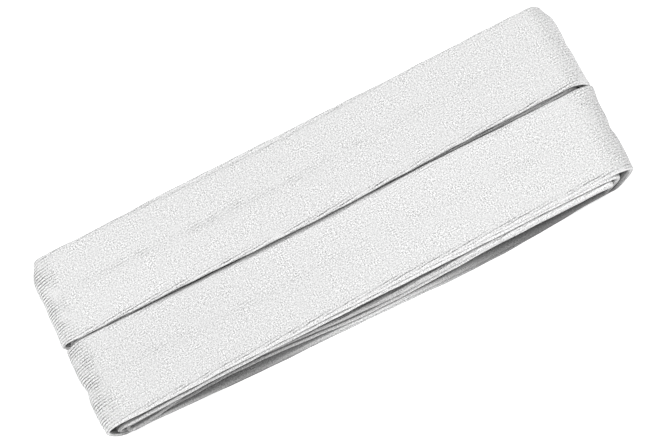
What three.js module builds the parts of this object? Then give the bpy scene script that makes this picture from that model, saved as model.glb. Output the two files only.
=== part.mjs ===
// A flat hank of bias tape: one long strip of folded jersey, wound lengthwise in two columns that lie
// side by side. The front column was wound first, from its floor run inwards. From its core the tape
// crosses to the back column, which winds outwards and laps a little over the front one.
// Millimetres, +Z up, X along the hank, Y across it from front to back. The hank lies on z = 0, with the
// origin under the middle of its box.
import * as THREE from 'three';

// Driving dimensions
const TAPE_WIDTH = 20; // finished width, both raw edges folded in to meet along the middle of the back
const TAPE_THICKNESS = 0.8; // two plies of jersey
const SLIT_WIDTH = 0.7; // mouth of the slit where the two folded-in edges meet
const SLIT_DEPTH = 0.3;
const NOTCH_WIDTH = 4; // where a fold dips in over the slit, between its two rounded halves
const NOTCH_DEPTH = 0.5;
const COLUMN_PITCH = TAPE_WIDTH + 0.5; // from the middle of one column to the middle of the other
const CUT_END = 50; // how far from the hank's middle the tape's two cut ends lie

// Where the tables below give a run's place, left to right along the hank
const STATIONS = [-50, -25, 0, 25, 50];

// How finely the tape is divided
const STEPS_IN_RUN = 11;
const STEPS_IN_FOLD = 8;
const EDGE_STEPS = 4; // around each rounded edge of the tape

// A run's middle line across the hank, at the five stations. Columns slide outwards by the given sizes,
// and the crossing run goes from the front column to the back one by the given shares of the way.
const front = (...out) => out.map((slide) => -COLUMN_PITCH / 2 - slide);
const back = (...out) => out.map((slide) => COLUMN_PITCH / 2 + slide);
const crossing = (...shares) => shares.map((share) => COLUMN_PITCH * (share - 0.5));

const LEVEL = [0, 0, 0, 0, 0];

// One row for each run, in the order of winding, which goes to the right below and to the left above.
// across: the middle line. height: that line above the floor. tilt: the front edge above the back edge.
const RUNS = [
  { across: front(-1.25, -0.35, 0.3, 0.85, -0.55), height: [0.4, 0.4, 0.4, 0.4, 0.4], tilt: LEVEL },
  {
    across: front(-0.3, -0.15, 0, 0.1, 0.15),
    height: [6.9, 7.05, 7.25, 7.15, 6.8],
    tilt: [0, 0.4, 0.4, 0.2, 0],
  },
  { across: front(-0.75, 0, 0.4, 0.9, 0), height: [1.4, 1.4, 1.4, 1.4, 1.4], tilt: LEVEL },
  {
    across: front(0.05, 0, 0.2, 0.25, 0.2),
    height: [5.6, 6.1, 6.3, 6.2, 5.85],
    tilt: [0, 0.4, 0.4, 0.2, 0],
  },
  {
    across: front(-0.9, -1.3, 0.4, 0.65, 0.5),
    height: [2.35, 2.5, 2.5, 3.75, 3.7],
    tilt: [0, 0, 0.2, 0.9, 0.4],
  },
  { across: front(-0.3, -1, 0.6, 0.84, 0.7), height: [4.6, 4.55, 4.55, 5.15, 4.85], tilt: LEVEL },
  { across: crossing(-0.02, 0.35, 0.88, 1, 1), height: [3.55, 3.5, 3.5, 3.6, 3.55], tilt: LEVEL },
  { across: back(0.5, 0.9, 0.3, 0.2, 0), height: [4.4, 5.2, 4.9, 4.8, 4.65], tilt: LEVEL },
  { across: back(1, 1.5, 0.3, 0.1, 0.1), height: [2.45, 2.5, 2.5, 2.5, 2.45], tilt: LEVEL },
  { across: back(0.3, 0.4, 0.3, 0.2, 0), height: [5.8, 6.2, 6.3, 6.2, 5.9], tilt: LEVEL },
  { across: back(0.9, 0.5, 0.4, 0.2, 0.2), height: [1.4, 1.4, 1.4, 1.4, 1.4], tilt: LEVEL },
  {
    across: back(-0.4, -1, -1.4, -0.55, -0.4),
    height: [7.6, 8.05, 8.1, 7.95, 7.75],
    tilt: [0.7, 1.2, 1.2, 0.7, 0.7],
  },
  { across: back(1.3, 0.7, 0.3, 0.3, 0.5), height: [0.4, 0.4, 0.4, 0.4, 0.4], tilt: LEVEL },
];

// One row for each fold between two runs, right end and left end in turn.
// tip: the fold's furthest point from the hank's middle. reach: how far before the tip the fold starts.
// peak: how far up the fold its tip lies, as a share of its height.
const FOLDS = [
  { tip: 54.7, reach: 4.6, peak: 0.74 },
  { tip: 54.7, reach: 3.2, peak: 0.7 },
  { tip: 51.8, reach: 3.6, peak: 0.76 },
  { tip: 52.5, reach: 2.3, peak: 0.5 },
  { tip: 50, reach: 1, peak: 0.5 },
  { tip: 50.7, reach: 0.8, peak: 0.5 },
  { tip: 50.7, reach: 0.8, peak: 0.5 },
  { tip: 51.2, reach: 1.0, peak: 0.5 },
  { tip: 52.6, reach: 2.0, peak: 0.6 },
  { tip: 53.3, reach: 2.6, peak: 0.6 },
  { tip: 54.8, reach: 3.4, peak: 0.6 },
  { tip: 54.8, reach: 3.7, peak: 0.6 },
];

// A smooth course through five values, level at both ends and beyond them
function course(values) {
  const spline = new THREE.CubicInterpolant(STATIONS, values, 1);
  spline.settings = { endingStart: THREE.ZeroSlopeEnding, endingEnd: THREE.ZeroSlopeEnding };
  return (x) => spline.evaluate(x)[0];
}

// The place of a run at x: a point on the tape's middle line, and the tilt there
function runPlace(run, x) {
  const point = new THREE.Vector3(x, run.across(x), run.height(x));
  return { point, tilt: run.tilt(x), inFold: false, notch: 0 };
}

// The places around a fold, from the end of one run to the start of the next: half an ellipse, drawn in
// below until its tip lies at the peak. The tape goes up around a right fold and down around a left one.
function foldPlaces(from, to, side, { reach, peak }) {
  const wayToTip = Math.acos(1 - 2 * peak) / Math.PI;
  const drawIn = Math.log(0.5) / Math.log(wayToTip);
  const places = [];
  for (let step = 1; step < STEPS_IN_FOLD; step++) {
    const share = step / STEPS_IN_FOLD;
    const blend = (1 - Math.cos(Math.PI * share)) / 2;
    const wayUp = side > 0 ? share : 1 - share;
    const bulge = Math.sin(Math.PI * wayUp ** drawIn);
    const point = from.point.clone().lerp(to.point, blend);
    point.x += side * reach * bulge;
    places.push({
      point,
      tilt: THREE.MathUtils.lerp(from.tilt, to.tilt, blend),
      inFold: true,
      notch: -side * NOTCH_DEPTH * bulge,
    });
  }
  return places;
}

// The whole tape's middle line, from one cut end to the other
function tapePlaces() {
  const runs = RUNS.map(({ across, height, tilt }) => ({
    across: course(across),
    height: course(height),
    tilt: course(tilt),
  }));
  const places = [];
  runs.forEach((run, index) => {
    const side = index % 2 === 0 ? 1 : -1;
    const before = FOLDS[index - 1];
    const after = FOLDS[index];
    const start = -side * (before ? before.tip - before.reach : CUT_END);
    const end = side * (after ? after.tip - after.reach : CUT_END);
    for (let step = 0; step <= STEPS_IN_RUN; step++) {
      places.push(runPlace(run, THREE.MathUtils.lerp(start, end, step / STEPS_IN_RUN)));
    }
    if (after) {
      places.push(...foldPlaces(runPlace(run, end), runPlace(runs[index + 1], end), side, after));
    }
  });
  return places;
}

// The tape's section: x across its width, y out from its back to its plain face
function tapeSection() {
  const radius = TAPE_THICKNESS / 2;
  const middle = TAPE_WIDTH / 2 - radius;
  const notch = NOTCH_WIDTH / 2;
  const mouth = SLIT_WIDTH / 2;
  const roundEdge = (side) =>
    Array.from({ length: EDGE_STEPS + 1 }, (_, step) => {
      const turn = side * Math.PI * (step / EDGE_STEPS - 0.5);
      return [side * (middle + radius * Math.cos(turn)), radius * Math.sin(turn)];
    });
  const plainFace = [notch, 0, -notch].map((x) => [x, radius]);
  const slit = [[-mouth, -radius], [0, SLIT_DEPTH - radius], [mouth, -radius]];
  const backFace = [[-notch, -radius], ...slit, [notch, -radius]];
  const outline = [...roundEdge(1), ...plainFace, ...roundEdge(-1), ...backFace];
  return outline.map(([x, y]) => new THREE.Vector2(x, y));
}

// The section at one place, as points in space. In a run it stands square to the middle line. In a fold
// it stays straight across the hank, where the fold slides a little sideways, and dips in at its notch.
function sectionRing(places, index, section) {
  const { point, tilt, inFold, notch } = places[index];
  const before = places[Math.max(index - 1, 0)].point;
  const after = places[Math.min(index + 1, places.length - 1)].point;
  const along = after.clone().sub(before);
  if (inFold) along.y = 0;
  along.normalize();
  const width = new THREE.Vector3(0, 1, -tilt / TAPE_WIDTH);
  width.addScaledVector(along, -width.dot(along)).normalize();
  const outward = width.clone().cross(along);
  return section.map(({ x, y }) => {
    const spot = point.clone().addScaledVector(width, x).addScaledVector(outward, y);
    spot.x += notch * Math.max(1 - Math.abs(x) / (NOTCH_WIDTH / 2), 0);
    return spot;
  });
}

// The closed body of the tape: a skin over all the sections, and a cap on each cut end
function tapeGeometry() {
  const section = tapeSection();
  const places = tapePlaces();
  const rings = places.map((_, index) => sectionRing(places, index, section));
  const count = section.length;
  const last = (rings.length - 1) * count;
  const faces = [];
  for (let ring = 0; ring < rings.length - 1; ring++) {
    for (let i = 0; i < count; i++) {
      const j = (i + 1) % count;
      const near = ring * count;
      const far = near + count;
      faces.push(near + i, far + j, near + j, near + i, far + i, far + j);
    }
  }
  for (const [a, b, c] of THREE.ShapeUtils.triangulateShape(section, [])) {
    faces.push(a, b, c, last + a, last + c, last + b);
  }
  const geometry = new THREE.BufferGeometry().setFromPoints(rings.flat());
  geometry.setIndex(faces);
  geometry.computeBoundingBox();
  const middle = geometry.boundingBox.getCenter(new THREE.Vector3());
  geometry.translate(-middle.x, -middle.y, -geometry.boundingBox.min.z);
  geometry.computeVertexNormals();
  return geometry;
}

const jersey = new THREE.MeshStandardMaterial({ color: 0xececee, roughness: 0.95, metalness: 0 });
const tape = new THREE.Mesh(tapeGeometry(), jersey);
tape.name = 'bias_tape';

const hank = new THREE.Group();
hank.add(tape);

export default hank;
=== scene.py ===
"""A flat hank of bias tape: one long strip of white jersey, its raw edges folded in to meet along the back,
wound lengthwise in two columns that lie side by side. Metres, +Z up, X along the hank, the hank on z = 0."""
import math

import bpy
import numpy as np
from mathutils import Matrix, Vector


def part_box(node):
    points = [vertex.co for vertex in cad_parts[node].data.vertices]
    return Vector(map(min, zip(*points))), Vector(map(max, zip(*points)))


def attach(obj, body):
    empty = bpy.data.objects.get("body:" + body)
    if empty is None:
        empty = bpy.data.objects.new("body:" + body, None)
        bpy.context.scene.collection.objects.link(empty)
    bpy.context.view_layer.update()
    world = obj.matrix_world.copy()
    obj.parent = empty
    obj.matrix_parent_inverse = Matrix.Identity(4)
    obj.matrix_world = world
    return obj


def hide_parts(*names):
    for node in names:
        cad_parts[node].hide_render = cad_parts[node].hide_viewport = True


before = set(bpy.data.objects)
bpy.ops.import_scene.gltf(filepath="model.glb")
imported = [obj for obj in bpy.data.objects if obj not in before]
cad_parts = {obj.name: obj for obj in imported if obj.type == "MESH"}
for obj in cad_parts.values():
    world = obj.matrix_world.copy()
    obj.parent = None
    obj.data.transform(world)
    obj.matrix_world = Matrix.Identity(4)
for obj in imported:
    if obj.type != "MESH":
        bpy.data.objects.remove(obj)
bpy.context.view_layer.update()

MM = 0.001

# The tape's own sizes
TAPE_WIDTH = 20 * MM
TAPE_THICKNESS = 0.8 * MM
PLY_GAP = 0.08 * MM  # between the face ply and the two folded-in plies
SLIT_WIDTH = 0.7 * MM
COLUMN_PITCH = TAPE_WIDTH + 0.5 * MM  # from the middle of one column to the middle of the other
CUT_END = 50 * MM  # how far from the hank's middle the tape's two cut ends lie
HALF_WIDTH = TAPE_WIDTH / 2

# Where the tables below give a run's place, left to right along the hank
STATIONS = np.array([-50, -25, 0, 25, 50]) * MM
LEVEL = np.zeros(5)


def front(*slides):
    """The middle line of a run in the front column, slid outwards by the given millimetres."""
    return -COLUMN_PITCH / 2 - np.array(slides) * MM


def back(*slides):
    """The middle line of a run in the back column, slid outwards by the given millimetres."""
    return COLUMN_PITCH / 2 + np.array(slides) * MM


def crossing(*shares):
    """The middle line of the run that crosses from the front column to the back one, by shares of the way."""
    return COLUMN_PITCH * (np.array(shares) - 0.5)


def mm(*values):
    """Sizes, given in millimetres."""
    return np.array(values) * MM


def shares(*values):
    """Shares, from 0 for none to 1 for all."""
    return np.array(values)


# One row for each run, in the order of winding, which goes to the right below and to the left above.
# across: the middle line. height: that line above the floor. tilt: the front edge above the back edge.
# crease: how far its plain face sinks into the slit. shade: how much painted shade it gets, at the stations,
# mostly showing at its edges, for the shade of the runs above; on the top run a faint painted shade, darker
# towards the left. step: how finely the run is divided, fine where its face shows.
FINE, COARSE = 0.8 * MM, 2 * MM
RUNS = [
    dict(across=front(-1.25, -0.35, 0.3, 0.85, -0.55), height=mm(0.4, 0.4, 0.4, 0.4, 0.4),
         tilt=LEVEL, crease=LEVEL, shade=shares(0.5, 0.9, 0.2, 0.85, 1), step=COARSE),
    dict(across=front(-0.3, -0.15, 0, 0.1, 0.15), height=mm(6.9, 7.05, 7.25, 7.15, 6.8),
         tilt=mm(0, 0.4, 0.4, 0.2, 0), crease=mm(0.03, 0.06, 0.03, 0.03, 0.03),
         shade=shares(0.06, 0.05, 0.02, 0, 0), step=FINE),
    dict(across=front(-0.75, 0, 0.4, 0.9, 0), height=mm(1.4, 1.4, 1.4, 1.4, 1.4),
         tilt=LEVEL, crease=LEVEL, shade=shares(0.5, 0.9, 0.15, 0.95, 1), step=COARSE),
    dict(across=front(0.05, 0, 0.2, 0.25, 0.2), height=mm(5.6, 6.1, 6.3, 6.2, 5.85),
         tilt=mm(0, 0.4, 0.4, 0.2, 0), crease=LEVEL, shade=shares(0.3, 0.2, 0, 0, 0), step=COARSE),
    dict(across=front(-0.9, -1.3, 0.4, 0.65, 0.5), height=mm(2.35, 2.5, 2.5, 3.75, 3.7),
         tilt=mm(0, 0, 0.2, 0.9, 0.4), crease=LEVEL, shade=shares(0.95, 0.6, 0.3, 0, 0), step=COARSE),
    dict(across=front(-0.3, -1, 0.6, 0.84, 0.7), height=mm(4.6, 4.55, 4.55, 5.15, 4.85),
         tilt=LEVEL, crease=LEVEL, shade=shares(0.8, 0.7, 0.5, 0.1, 0), step=COARSE),
    dict(across=crossing(-0.02, 0.35, 0.88, 1, 1), height=mm(3.55, 3.5, 3.5, 3.6, 3.55),
         tilt=LEVEL, crease=LEVEL, shade=shares(0.7, 0.5, 0.3, 0, 0), step=COARSE),
    dict(across=back(0.5, 0.9, 0.3, 0.2, 0), height=mm(4.4, 5.2, 4.9, 4.8, 4.65),
         tilt=LEVEL, crease=LEVEL, shade=LEVEL, step=COARSE),
    dict(across=back(1, 1.5, 0.3, 0.1, 0.1), height=mm(2.45, 2.5, 2.5, 2.5, 2.45),
         tilt=LEVEL, crease=LEVEL, shade=LEVEL, step=COARSE),
    dict(across=back(0.3, 0.4, 0.3, 0.2, 0), height=mm(5.8, 6.2, 6.3, 6.2, 5.9),
         tilt=LEVEL, crease=LEVEL, shade=LEVEL, step=COARSE),
    dict(across=back(0.9, 0.5, 0.4, 0.2, 0.2), height=mm(1.4, 1.4, 1.4, 1.4, 1.4),
         tilt=LEVEL, crease=LEVEL, shade=LEVEL, step=COARSE),
    dict(across=back(-0.4, -1, -1.4, -0.55, -0.4), height=mm(7.6, 8.05, 8.1, 7.95, 7.75),
         tilt=mm(0.7, 1.2, 1.2, 0.7, 0.7), crease=mm(0.06, 0.14, 0.08, 0.04, 0.03),
         shade=LEVEL, step=FINE),
    dict(across=back(1.3, 0.7, 0.3, 0.3, 0.5), height=mm(0.4, 0.4, 0.4, 0.4, 0.4),
         tilt=LEVEL, crease=LEVEL, shade=LEVEL, step=COARSE),
]

# One row for each fold between two runs, right end and left end in turn.
# tip: the fold's furthest point from the hank's middle. reach: how far before the tip the fold starts.
# peak: how far up the fold its tip lies, as a share of its height.
# notch, rear, front: how far the tip dips in over the slit, and at the tape's rear and front edges.
# narrow: how far the edge next to the other column draws in.
FOLDS = [
    dict(tip=54.7 * MM, reach=4.6 * MM, peak=0.74,
         notch=0.3 * MM, rear=-0.5 * MM, front=0.2 * MM, narrow=0),
    dict(tip=54.7 * MM, reach=3.2 * MM, peak=0.7,
         notch=0.45 * MM, rear=0.1 * MM, front=0.3 * MM, narrow=0.5 * MM),
    dict(tip=51.8 * MM, reach=3.6 * MM, peak=0.76,
         notch=0.3 * MM, rear=0.2 * MM, front=0.2 * MM, narrow=0),
    dict(tip=52.5 * MM, reach=2.3 * MM, peak=0.5,
         notch=0.5 * MM, rear=0.2 * MM, front=0.2 * MM, narrow=0),
    dict(tip=50 * MM, reach=1 * MM, peak=0.5,
         notch=0.3 * MM, rear=0.1 * MM, front=0.1 * MM, narrow=0),
    dict(tip=50.7 * MM, reach=0.8 * MM, peak=0.5,
         notch=0.3 * MM, rear=0.1 * MM, front=0.1 * MM, narrow=0),
    dict(tip=50.7 * MM, reach=0.8 * MM, peak=0.5,
         notch=0.3 * MM, rear=0.1 * MM, front=0.1 * MM, narrow=0),
    dict(tip=51.2 * MM, reach=1.0 * MM, peak=0.5,
         notch=0.3 * MM, rear=0.3 * MM, front=0.1 * MM, narrow=0),
    dict(tip=52.6 * MM, reach=2.0 * MM, peak=0.6,
         notch=0.4 * MM, rear=0.7 * MM, front=0.1 * MM, narrow=0),
    dict(tip=53.3 * MM, reach=2.6 * MM, peak=0.6,
         notch=0.4 * MM, rear=1.0 * MM, front=0.1 * MM, narrow=0),
    dict(tip=54.8 * MM, reach=3.4 * MM, peak=0.6,
         notch=0.15 * MM, rear=1.3 * MM, front=-0.1 * MM, narrow=-0.3 * MM),
    dict(tip=54.8 * MM, reach=3.7 * MM, peak=0.6,
         notch=0.1 * MM, rear=1.5 * MM, front=-0.2 * MM, narrow=0.7 * MM),
]
STEPS_IN_FOLD = 15
OUTER_RUNS = (0, 1, 11, 12)  # whose plain face isn't covered by another run
OUTER_FOLDS = (0, 1, 10, 11)

# How the tape is shaped at its folds and along its length
NOTCH_WIDTH = 1.5 * MM
CORNER_WIDTH = 2.6 * MM
CREASE_WIDTH = 1.1 * MM  # where the face ply sinks a little into the slit
CREASE_UNEVEN = 0.5
CREASE_PLACE = 0.9 * MM  # a little to the rear of the tape's middle
EDGE_WANDER = 0.06 * MM
EDGE_WAVES = (37 * MM, 19 * MM, 11 * MM, 6.3 * MM)
FRONT_SEED, BACK_SEED, CREASE_SEED = 3, 8, 21

# Where the cloth gets painted shade: on a covered face it starts this far in from the tape's front edge, at
# the stations, and from its rear edge
LIT_AT_FRONT, LIT_AT_REAR = mm(0, 0.05, 0.12, 0.6, 0.5), 2 * MM
SHADE_WIDTH = 0.4 * MM  # from its start to full painted shade
BETWEEN_SHADE = 0.38  # painted shade on the sides that face the gap between the columns
LAPPING_RUN = 11  # which laps over the front column's rear edge, where its shadow is painted
LAP_SHADE, LAP_SHADE_WIDTH = 0.8, 0.3 * MM  # that painted shadow's depth, and from its start to its full depth

# The section's fineness
FACE_STEPS, BACK_STEPS, ROUND_STEPS = 44, 5, 7
INSIDE_STEPS, INSIDE_ROUND_STEPS = 8, 2
SHARP_ANGLE = math.radians(60)  # steeper edges, such as the slit's, aren't smoothed

# The knit
WALE = 0.63 * MM  # one column of stitches
COURSE = 0.45 * MM  # one row of stitches
WALE_SLANT = 0.1  # how far the columns lean across the tape as they run along it
WALE_DRIFT, DRIFT_SIZE = 0.45, 1.6 * MM  # how far a column wanders, in columns, and over what length
LEG_SLANT = 0.6  # how far a stitch's two legs slant, in rows
LEG_HEIGHT, KNOT_HEIGHT, FIBRE_HEIGHT = 0.3, 0.5, 1.6  # shares of the relief
FIBRE_SIZE, FIBRE_DETAIL = 0.26 * MM, 2
RELIEF = 0.07 * MM
RELIEF_STRENGTH = 0.8

# The grooves between its columns, their painted shade, and how far they are pulled open
GROOVE_SHARPNESS = 4
GROOVE_DEPTH, OPEN_GROOVE_DEPTH = 0.3, 1.2  # shares of the relief
# painted shade in the grooves, and how much more of it where they are pulled open
GROOVE_SHADE, OPEN_GROOVE_SHADE = 0.03, 0.7
# pulled open more at the left end than at the right, which deepens both the relief and the painted shade
# there
OPEN_AT_LEFT, OPEN_AT_RIGHT, OPEN_AT_FRONT, OPEN_AT_REAR, OPEN_AT_CREASE = 1, 0.25, 0.9, 0.3, 0.5
OPEN_PLACES, OPEN_SHARES = mm(50, 53.4, 54.2, 54.8), (0, 1, 1, 0.4)  # from the hank's middle towards its ends
OPEN_LINE, OPEN_LINE_AT_BACK = 0.7 * MM, 0.4 * MM  # in from the tape's edges, in the front and back columns
OPEN_LINE_WIDTH = 0.4 * MM
PATCH_SIZE = 3.5 * MM  # of the patches where they are more open or less
PATCH_LEAST, PATCH_GAIN = -0.5, 3

# The cloth's tone
TONE = 0.78
SPECK_LEAST, SPECK_GAIN = 0.3, 1.9  # how much the fibres vary it, from patch to patch
NOISE_MIDDLE = 0.5  # about which the fibres' unevenness lies
SHADE = 0.78  # how much of the tone the full painted shade takes away
ROUGHNESS = 0.95
GLOSS = 0.2
SHEEN, SHEEN_ROUGHNESS = 0.15, 0.6  # of the fine nap

# The camera
IMAGE_WIDTH = 665
SENSOR_WIDTH = 36  # in millimetres, as the lens is
NEAREST = 0.01  # from the camera, what it still shows
VIEW_ELEVATION = math.radians(60)
VIEW_ROLL = math.radians(27)
VIEW_DISTANCE = 1.1
PIXELS_PER_METRE = 5330
AIM = Vector((0.5 * MM, -0.52 * MM, 4 * MM))

# The floor and the lights, which are in metres and watts
FLOOR_SIZE = 6
FLOOR_GAP = 0.1 * MM  # below the hank
FLOOR_COLOUR = (0.9, 0.9, 0.9)
FLOOR_GLOW = 0.5
SURROUND_STRENGTH = 0.15
LIGHTS = [
    dict(name="strip_light", place=(0.2, -0.4, 1.07), width=1.7, depth=0.25, power=15.4),
    dict(name="left_light", place=(-1, -0.1, 0.55), width=0.6, depth=0.6, power=5.5),
]


def course(values):
    """A smooth course through the values at the stations, level at both ends and beyond them."""
    slopes = np.gradient(values)
    slopes[[0, -1]] = 0
    last = len(values) - 1

    def at(x):
        place = np.clip((x - STATIONS[0]) / (STATIONS[1] - STATIONS[0]), 0, last)
        left = np.minimum(place.astype(int), last - 1)
        p = place - left
        rise = values[left + 1] - values[left]
        eased = p * p * (3 - 2 * p)
        return values[left] + rise * eased + p * (1 - p) * (slopes[left] * (1 - p) - slopes[left + 1] * p)

    return at


def run_places(run, x):
    """The places of a run at each x: points on the tape's middle line, with the tilt there."""
    point = np.stack([x, course(run["across"])(x), course(run["height"])(x)], axis=1)
    none = np.zeros_like(x)
    courses = {name: course(run[name])(x) for name in ("tilt", "crease", "shade")}
    return dict(point=point, bulge=none, notch=none, rear=none, front=none, narrow=none, **courses)


def fold_places(run, next_run, end, side, fold):
    """The places around a fold, from the end of one run to the start of the next: half an ellipse, drawn in
    below until its tip lies at the peak. The tape goes up around a right fold and down around a left one."""
    share = np.linspace(0, 1, STEPS_IN_FOLD + 1)[1:-1]
    blend = (1 - np.cos(math.pi * share)) / 2
    way_to_tip = math.acos(1 - 2 * fold["peak"]) / math.pi
    draw_in = math.log(0.5) / math.log(way_to_tip)
    way_up = share if side > 0 else 1 - share
    bulge = np.sin(math.pi * way_up ** draw_in)
    here = run_places(run, np.full(len(share), end))
    there = run_places(next_run, np.full(len(share), end))
    point = here["point"] + (there["point"] - here["point"]) * blend[:, None]
    point[:, 0] += side * fold["reach"] * bulge
    eased = {name: here[name] + (there[name] - here[name]) * blend for name in ("tilt", "crease", "shade")}
    dips = {name: -side * fold[name] * bulge for name in ("notch", "rear", "front")}
    return dict(point=point, bulge=bulge, narrow=fold["narrow"] * bulge, **eased, **dips)


def tape_places():
    """The whole tape's middle line, from one cut end to the other, as arrays of equal length."""
    stretches = []
    covered = []
    for index, run in enumerate(RUNS):
        side = 1 if index % 2 == 0 else -1
        start = -side * CUT_END
        end = side * CUT_END
        if index > 0:
            start = -side * (FOLDS[index - 1]["tip"] - FOLDS[index - 1]["reach"])
        if index < len(FOLDS):
            end = side * (FOLDS[index]["tip"] - FOLDS[index]["reach"])
        count = round(abs(end - start) / run["step"])
        stretches.append(run_places(run, np.linspace(start, end, count + 1)))
        covered.append(np.full(count + 1, float(index not in OUTER_RUNS)))
        if index < len(FOLDS):
            stretches.append(fold_places(run, RUNS[index + 1], end, side, FOLDS[index]))
            covered.append(np.full(STEPS_IN_FOLD - 1, float(index not in OUTER_FOLDS)))
    places = {name: np.concatenate([stretch[name] for stretch in stretches]) for name in stretches[0]}
    return dict(places, covered=np.concatenate(covered))


def tape_section():
    """The folded ply's section as a closed outline: x across, y out from the tape's back to its plain face,
    and the place across the ply, from the middle of its face."""
    radius = TAPE_THICKNESS / 2
    middle = HALF_WIDTH - radius
    mouth = SLIT_WIDTH / 2
    hollow = PLY_GAP / 2
    points = []

    def straight(across, y, on_back):
        for x in across:
            ply = math.copysign(2 * middle + math.pi * abs(y) - abs(x), x) if on_back else x
            points.append((x, y, ply))

    def rounded(side, size, steps, turn_from, turn_to):
        for turn in np.linspace(turn_from, turn_to, steps + 1)[1:-1]:
            x = side * (middle + size * math.cos(turn))
            points.append((x, size * math.sin(turn), side * (middle + size * (math.pi / 2 - turn))))

    down, up = -math.pi / 2, math.pi / 2
    back_half = np.append(np.linspace(mouth, middle - SHADE_WIDTH, BACK_STEPS), middle)
    straight(back_half, -radius, True)
    rounded(1, radius, ROUND_STEPS, down, up)
    straight(np.linspace(middle, -middle, FACE_STEPS + 1), radius, False)
    rounded(-1, radius, ROUND_STEPS, up, down)
    straight(-back_half[::-1], -radius, True)
    straight(-back_half, -hollow, True)
    rounded(-1, hollow, INSIDE_ROUND_STEPS, down, up)
    straight(np.linspace(-middle, middle, INSIDE_STEPS + 1), hollow, False)
    rounded(1, hollow, INSIDE_ROUND_STEPS, up, down)
    straight(back_half[::-1], -hollow, True)
    return np.array(points).T


def wander(along, waves, seed):
    """A smooth, uneven course along the tape, between about -1 and 1."""
    random = np.random.default_rng(seed)
    total = sum(np.sin(2 * math.pi * (along / wave + random.random())) for wave in waves)
    return total / math.sqrt(len(waves))


def hump(x, width):
    """A soft bump of height 1 where x is 0."""
    return np.exp(-((x / width) ** 2))


def tape_axes(places):
    """Two directions at each place: across the tape's width, and out from its plain face. In a fold the
    section stays straight across the hank, where the fold slides a little sideways."""
    point = places["point"]
    along = np.empty_like(point)
    along[1:-1] = point[2:] - point[:-2]
    along[0] = point[1] - point[0]
    along[-1] = point[-1] - point[-2]
    along[places["bulge"] > 0, 1] = 0
    along /= np.linalg.norm(along, axis=1, keepdims=True)
    width = np.stack([np.zeros(len(point)), np.ones(len(point)), -places["tilt"] / TAPE_WIDTH], axis=1)
    width -= along * np.sum(width * along, axis=1, keepdims=True)
    width /= np.linalg.norm(width, axis=1, keepdims=True)
    return width, np.cross(width, along)


def tape_across(places, travel, x):
    """How far each point lies across the tape, which has uneven edges and draws in at its folds."""
    in_back = places["point"][:, 1] > 0
    front_edge = wander(travel, EDGE_WAVES, FRONT_SEED) * EDGE_WANDER + places["narrow"] * in_back
    back_edge = wander(travel, EDGE_WAVES, BACK_SEED) * EDGE_WANDER - places["narrow"] * ~in_back
    to_front, to_back = np.maximum(-x / HALF_WIDTH, 0), np.maximum(x / HALF_WIDTH, 0)
    return x + np.outer(front_edge, to_front) + np.outer(back_edge, to_back)


def tape_spots(places, across, crease, x, y):
    """The points of the tape's skin in space, a row for each place along it, where the solid's own box is."""
    width, outward = tape_axes(places)
    out = y - np.outer(crease, hump(x - CREASE_PLACE, CREASE_WIDTH) * (y > 0))
    spots = places["point"][:, None] + across[..., None] * width[:, None] + out[..., None] * outward[:, None]
    spots[..., 0] += np.outer(places["notch"], hump(x, NOTCH_WIDTH))
    spots[..., 0] += np.outer(places["rear"], hump(HALF_WIDTH - x, CORNER_WIDTH))
    spots[..., 0] += np.outer(places["front"], hump(HALF_WIDTH + x, CORNER_WIDTH))

    low, high = spots.min(axis=(0, 1)), spots.max(axis=(0, 1))
    cad_low, cad_high = (np.array(corner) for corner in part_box("bias_tape"))
    shift = (cad_low + cad_high) / 2 - (low + high) / 2
    shift[2] = cad_low[2] - low[2]
    return spots + shift


def pulled_open(places, crease, x, y):
    """How far the stitches are pulled open, which deepens the grooves' relief and their painted shade: at the
    hank's ends, along the tape's edges and in the crease.
    """
    point = places["point"]
    near_end = np.interp(np.abs(point[:, 0]), OPEN_PLACES, OPEN_SHARES)
    stretch = np.where(point[:, 0] < 0, OPEN_AT_LEFT, OPEN_AT_RIGHT) * near_end
    line = np.where(point[:, 1, None] < 0, OPEN_LINE, OPEN_LINE_AT_BACK)
    edge = np.where(x < 0, OPEN_AT_FRONT, OPEN_AT_REAR) * (y > 0)
    edge = edge * hump(HALF_WIDTH - np.abs(x) - line, OPEN_LINE_WIDTH)
    sunk = OPEN_AT_CREASE * np.outer(crease / crease.max(), hump(x - CREASE_PLACE, CREASE_WIDTH) * (y > 0))
    return np.maximum(stretch[:, None], edge + sunk)


def in_shade(places, across, x, y):
    """How much painted shade each point gets, for the shade of other runs: between them, or under the run
    that laps over.
    """
    point = places["point"]
    in_front = point[:, 1, None] < 0
    # Painted shade: on covered faces it deepens in from the tape's edges, with less between the columns, and
    # each run adds its own
    lit = np.where(x < 0, course(LIT_AT_FRONT)(point[:, 0])[:, None], LIT_AT_REAR)
    buried = np.clip((HALF_WIDTH - np.abs(x) - lit) / SHADE_WIDTH, 0, 1)
    between_columns = point[:, 1, None] * x < 0
    covered = np.where(y > 0, places["covered"][:, None], 1)
    painted_shade = np.maximum(covered * np.where(between_columns, BETWEEN_SHADE, buried), places["shade"][:, None])
    # Painted shadow on the front column's rear edge, under the run that laps over
    lap_line = course(RUNS[LAPPING_RUN]["across"])(point[:, 0]) - HALF_WIDTH
    past_lap = point[:, 1, None] + across - lap_line[:, None]
    lapped = np.clip((past_lap + LAP_SHADE_WIDTH / 2) / LAP_SHADE_WIDTH, 0, 1)
    return np.maximum(painted_shade, LAP_SHADE * lapped * in_front)


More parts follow.
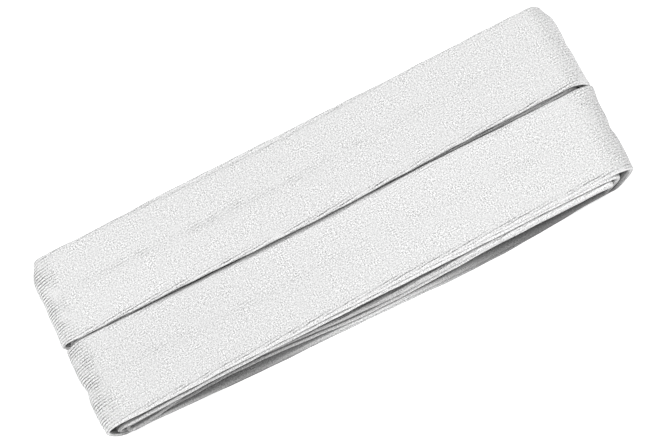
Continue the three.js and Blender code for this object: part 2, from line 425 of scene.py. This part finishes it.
def tape_mesh():
    """The tape's mesh and length: a skin over its sections and a cap on each cut end. The mesh also holds
    each point's place on the ply, how far its stitches are pulled open, and how much painted shade it gets."""
    places = tape_places()
    x, y, ply = tape_section()
    steps = np.linalg.norm(np.diff(places["point"], axis=0), axis=1)
    travel = np.concatenate([[0], np.cumsum(steps)])
    across = tape_across(places, travel, x)
    crease = places["crease"] * (1 + CREASE_UNEVEN * wander(travel, EDGE_WAVES, CREASE_SEED))
    spots = tape_spots(places, across, crease, x, y)

    rings, count = spots.shape[:2]
    ring, i = np.meshgrid(np.arange(rings - 1), np.arange(count), indexing="ij")
    j = (i + 1) % count
    near, far = ring * count, (ring + 1) * count
    quads = np.stack([near + i, far + i, far + j, near + j], axis=-1).reshape(-1, 4)
    caps = [list(range(count)), list(range(rings * count - 1, (rings - 1) * count - 1, -1))]
    mesh = bpy.data.meshes.new("bias_tape_cloth")
    mesh.from_pydata(spots.reshape(-1, 3), [], quads.tolist() + caps)

    ply_map = np.stack(np.broadcast_arrays(travel[:, None], ply[None, :]), axis=-1).reshape(-1, 2)
    corners = np.empty(len(mesh.loops), int)
    mesh.loops.foreach_get("vertex_index", corners)
    mesh.uv_layers.new(name="Ply").uv.foreach_set("vector", ply_map[corners].ravel())
    pulled = pulled_open(places, crease, x, y)
    mesh.attributes.new("open", "FLOAT", "POINT").data.foreach_set("value", pulled.ravel())
    # Painted shade, kept on the mesh for the material to darken the tone with
    painted_shade = in_shade(places, across, x, y)
    mesh.attributes.new("painted_shade", "FLOAT", "POINT").data.foreach_set("value", painted_shade.ravel())
    mesh.shade_smooth()
    mesh.set_sharp_from_angle(angle=SHARP_ANGLE)
    return mesh, travel[-1]


class Nodes:
    """A short way of writing a material's nodes."""

    def __init__(self, name):
        self.material = bpy.data.materials.new(name)
        self.material.use_nodes = True
        self.tree = self.material.node_tree
        self.shader = self.tree.nodes["Principled BSDF"]

    def add(self, kind, **settings):
        node = self.tree.nodes.new(kind)
        for name, value in settings.items():
            setattr(node, name, value)
        return node

    def feed(self, socket, value):
        """Links a socket to another one, or sets it to a plain value."""
        if isinstance(value, bpy.types.NodeSocket):
            self.tree.links.new(value, socket)
        else:
            socket.default_value = value

    def calc(self, operation, *values):
        node = self.add("ShaderNodeMath", operation=operation)
        for socket, value in zip(node.inputs, values):
            self.feed(socket, value)
        return node.outputs[0]

    def noise(self, place, size, detail=1):
        """Uneven patches of about the given size, between 0 and 1."""
        node = self.add("ShaderNodeTexNoise", noise_dimensions="2D")
        self.feed(node.inputs["Vector"], place)
        self.feed(node.inputs["Scale"], 1 / size)
        self.feed(node.inputs["Detail"], detail)
        return node.outputs[0]


def jersey_material():
    """White jersey: columns of small V-shaped stitches, uneven from stitch to stitch, with deeper grooves
    where the cloth is pulled open. Its tone carries painted shade in the grooves and where other runs shade
    the cloth."""
    n = Nodes("jersey")
    ply = n.add("ShaderNodeUVMap", uv_map="Ply").outputs[0]
    split = n.add("ShaderNodeSeparateXYZ")
    n.feed(split.inputs[0], ply)
    along, across = split.outputs[0], split.outputs[1]
    pulled = n.add("ShaderNodeAttribute", attribute_name="open").outputs["Fac"]
    painted_shade = n.add("ShaderNodeAttribute", attribute_name="painted_shade").outputs["Fac"]

    # The place among the stitches, a little wandering
    drift = n.noise(ply, DRIFT_SIZE)
    lean = n.calc("MULTIPLY_ADD", along, WALE_SLANT, across)
    wale = n.calc("MULTIPLY_ADD", drift, WALE_DRIFT, n.calc("DIVIDE", lean, WALE))
    from_middle = n.calc("ABSOLUTE", n.calc("MULTIPLY_ADD", n.calc("FRACT", wale), 2, -1))
    row = n.calc("MULTIPLY_ADD", from_middle, LEG_SLANT, n.calc("DIVIDE", along, COURSE))

    # One stitch's height: two slanting legs, with a deep groove between columns and a shallow one within
    leg = n.calc("SINE", n.calc("MULTIPLY", from_middle, math.pi))
    knot = n.calc("MULTIPLY_ADD", n.calc("COSINE", n.calc("MULTIPLY", row, 2 * math.pi)), 0.5, 0.5)
    stitch = n.calc("MULTIPLY", leg, n.calc("MULTIPLY_ADD", knot, KNOT_HEIGHT, LEG_HEIGHT))
    fibres = n.noise(ply, FIBRE_SIZE, FIBRE_DETAIL)
    rough = n.calc("MULTIPLY_ADD", fibres, FIBRE_HEIGHT, stitch)
    uneven = n.noise(ply, PATCH_SIZE)
    opened = n.calc("MULTIPLY", pulled, n.calc("MULTIPLY_ADD", uneven, PATCH_GAIN, PATCH_LEAST))
    groove = n.calc("POWER", from_middle, GROOVE_SHARPNESS)
    depth = n.calc("MULTIPLY_ADD", opened, OPEN_GROOVE_DEPTH, GROOVE_DEPTH)
    bump = n.add("ShaderNodeBump")
    bump.inputs["Strength"].default_value = RELIEF_STRENGTH
    bump.inputs["Distance"].default_value = RELIEF
    n.feed(bump.inputs["Height"], n.calc("SUBTRACT", rough, n.calc("MULTIPLY", groove, depth)))
    n.feed(n.shader.inputs["Normal"], bump.outputs[0])

    # Its tone: painted shade in the grooves, uneven with the fibres, and painted shade where other runs shade
    # the cloth
    # Painted shade in the grooves, deeper where they are pulled open
    painted_groove_shade = n.calc("MULTIPLY", groove, n.calc("MULTIPLY_ADD", opened, OPEN_GROOVE_SHADE, GROOVE_SHADE))
    speckle = n.calc("MULTIPLY_ADD", uneven, SPECK_GAIN, SPECK_LEAST)
    speck = n.calc("MULTIPLY_ADD", n.calc("SUBTRACT", fibres, NOISE_MIDDLE), speckle, TONE)
    # Painted shade: the tone darkens where the attribute says other runs shade the cloth
    lit = n.calc("MULTIPLY_ADD", painted_shade, -SHADE, 1)
    tone = n.calc("MULTIPLY", n.calc("SUBTRACT", speck, painted_groove_shade), lit)
    colour = n.add("ShaderNodeCombineColor")
    for socket in colour.inputs:
        n.feed(socket, tone)
    n.feed(n.shader.inputs["Base Color"], colour.outputs[0])
    n.shader.inputs["Roughness"].default_value = ROUGHNESS
    n.shader.inputs["Specular IOR Level"].default_value = GLOSS
    n.shader.inputs["Sheen Weight"].default_value = SHEEN
    n.shader.inputs["Sheen Roughness"].default_value = SHEEN_ROUGHNESS
    return n.material


def floor_material():
    """White, and glowing a little, so that the hank throws no shadow on it."""
    n = Nodes("floor")
    n.shader.inputs["Base Color"].default_value = (*FLOOR_COLOUR, 1)
    n.shader.inputs["Roughness"].default_value = 1
    n.shader.inputs["Specular IOR Level"].default_value = 0
    n.shader.inputs["Emission Color"].default_value = (1, 1, 1, 1)
    n.shader.inputs["Emission Strength"].default_value = FLOOR_GLOW
    return n.material


def add_object(name, data):
    """A new object of the scene."""
    made = bpy.data.objects.new(name, data)
    bpy.context.scene.collection.objects.link(made)
    return made


def add_camera():
    """The photograph's view: down at the hank's long front side, turned until its right end is up."""
    data = bpy.data.cameras.new("camera")
    data.sensor_width = SENSOR_WIDTH
    data.lens = SENSOR_WIDTH * PIXELS_PER_METRE * VIEW_DISTANCE / IMAGE_WIDTH
    data.clip_start = NEAREST
    camera = add_object("camera", data)
    level = Vector((1, 0, 0))
    rise = Vector((0, math.sin(VIEW_ELEVATION), math.cos(VIEW_ELEVATION)))
    away = Vector((0, -math.cos(VIEW_ELEVATION), math.sin(VIEW_ELEVATION)))
    right = level * math.cos(VIEW_ROLL) - rise * math.sin(VIEW_ROLL)
    up = level * math.sin(VIEW_ROLL) + rise * math.cos(VIEW_ROLL)
    turned = Matrix((right, up, away)).transposed().to_4x4()
    camera.matrix_world = Matrix.Translation(AIM + away * VIEW_DISTANCE) @ turned
    bpy.context.scene.camera = camera


def add_light(name, place, width, depth, power):
    """A soft light at a place, turned to the hank."""
    data = bpy.data.lights.new(name, "AREA")
    data.shape = "RECTANGLE"
    data.size = width
    data.size_y = depth
    data.energy = power
    light = add_object(name, data)
    light.location = place
    light.rotation_euler = Vector(place).to_track_quat("Z", "Y").to_euler()


def add_stage():
    """A plain pale floor, a soft white surround, and the soft lights."""
    mesh = bpy.data.meshes.new("floor")
    half = FLOOR_SIZE / 2
    corners = [(-half, -half, 0), (half, -half, 0), (half, half, 0), (-half, half, 0)]
    mesh.from_pydata(corners, [], [(0, 1, 2, 3)])
    mesh.materials.append(floor_material())
    floor = add_object("floor", mesh)
    floor.location.z = -FLOOR_GAP

    world = bpy.data.worlds.new("surround")
    world.use_nodes = True
    world.node_tree.nodes["Background"].inputs["Color"].default_value = (1, 1, 1, 1)
    world.node_tree.nodes["Background"].inputs["Strength"].default_value = SURROUND_STRENGTH
    bpy.context.scene.world = world
    for light in LIGHTS:
        add_light(**light)
    bpy.context.scene.view_settings.view_transform = "Standard"


add_camera()
add_stage()

tape_data, tape_length = tape_mesh()
tape_data.materials.append(jersey_material())
tape = add_object("bias_tape_cloth", tape_data)
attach(tape, "root")
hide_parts("bias_tape")
